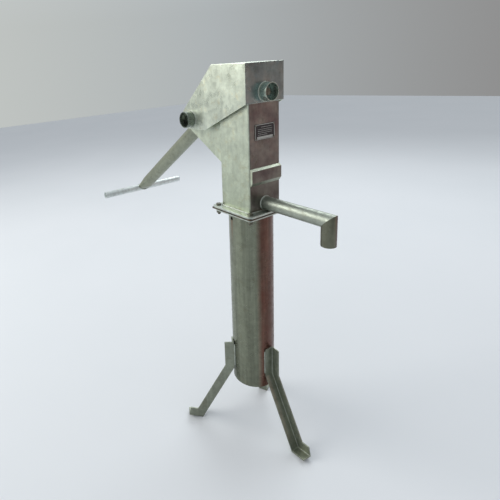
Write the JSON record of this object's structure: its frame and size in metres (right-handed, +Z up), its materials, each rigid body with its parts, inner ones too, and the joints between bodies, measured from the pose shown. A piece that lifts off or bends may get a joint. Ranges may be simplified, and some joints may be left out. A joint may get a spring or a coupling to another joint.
{
  "type": "hand well pump",
  "caption": "Deep-well lever hand pump: stand tube on splayed legs, box head with lift-off cover, side lever with cross bar, and a downturned spout.",
  "frame": {"origin": "centre of the stand tube's lower rim; the feet stand 195 mm lower", "axes": "+X towards the spout, +Y to the left looking along the spout, +Z up along the stand tube"},
  "size_m": [1.1965, 0.4816, 1.467],
  "materials": {
    "galvanised_sheet": "hot-dip galvanised folded sheet, mottled",
    "galvanised_cover": "hot-dip galvanised folded sheet, mottled",
    "galvanised_pipe": "hot-dip galvanised pipe",
    "galvanised_lever": "hot-dip galvanised pipe, rubbed by hands",
    "galvanised_plate": "hot-dip galvanised plate and angle",
    "fasteners": "zinc plated, dulled",
    "bright_steel": "plain machined steel",
    "bearing_plastic": "moulded bearing plastic",
    "rubber": "matt black rubber",
    "riser_plastic": "matt pipe plastic",
    "name_plate": "black anodised with a plain bright border"
  },
  "bodies": {
    "stand": {"stand_tube": "galvanised_pipe", "stand_flange": "galvanised_plate", "leg_front": "galvanised_plate", "leg_left": "galvanised_plate", "leg_right": "galvanised_plate", "cone_plate": "galvanised_plate", "rubber_cone": "rubber", "riser_sleeve": "riser_plastic", "head_flange": "galvanised_plate", "head_column": "galvanised_sheet", "head_back_plate": "galvanised_sheet", "wing_right": "galvanised_sheet", "wing_left": "galvanised_sheet", "wing_floor": "galvanised_sheet", "front_hood": "galvanised_sheet", "name_plate": "name_plate", "plate_rivets": "fasteners", "spout_pipe": "galvanised_pipe", "spout_nozzle": "galvanised_pipe", "flange_bolts": "fasteners", "flange_washers": "fasteners", "flange_nuts": "fasteners", "fulcrum_pin": "bright_steel", "fulcrum_washers": "fasteners", "fulcrum_nuts": "fasteners", "fulcrum_inner_bush": "bearing_plastic", "lever_buffer": "rubber"},
    "cover": {"cover_shell": "galvanised_cover", "nut_guard_right": "galvanised_pipe", "nut_guard_left": "galvanised_pipe", "bolt_guard": "galvanised_pipe", "cover_bolt": "fasteners", "cover_washer": "fasteners", "cover_nut": "fasteners"},
    "lever": {"lever_housing": "galvanised_lever", "fulcrum_outer_bush_right": "bearing_plastic", "fulcrum_outer_bush_left": "bearing_plastic", "fork_arm_right": "galvanised_plate", "fork_arm_left": "galvanised_plate", "lever_tube": "galvanised_lever", "cross_bar": "galvanised_lever", "hanger_pin": "bright_steel", "hanger_nuts": "fasteners", "hanger_spacer": "bearing_plastic"},
    "hanger": {"rod_hanger": "galvanised_plate", "hanger_bush": "bearing_plastic", "pump_rod": "bright_steel", "rod_lock_nut": "fasteners"}
  },
  "joints": [
    {"name": "lever_pivot", "type": "hinge", "parent": "stand", "child": "lever", "pos_m": [-0.226, 0, 1.071], "axis": [0, 1, 0], "range_deg": [0, 56]},
    {"name": "hanger_pivot", "type": "hinge", "parent": "lever", "child": "hanger", "pos_m": [-0.01409, 0, 1.18367], "axis": [0, 1, 0], "range_deg": [-56, 0]},
    {"name": "cover_lift", "type": "slide", "parent": "stand", "child": "cover", "axis": [0, 0, 1], "range_m": [0, 0.25]}
  ],
  "couplings": [
    {"joint": "hanger_pivot", "follows": "lever_pivot", "ratio": -1}
  ]
}
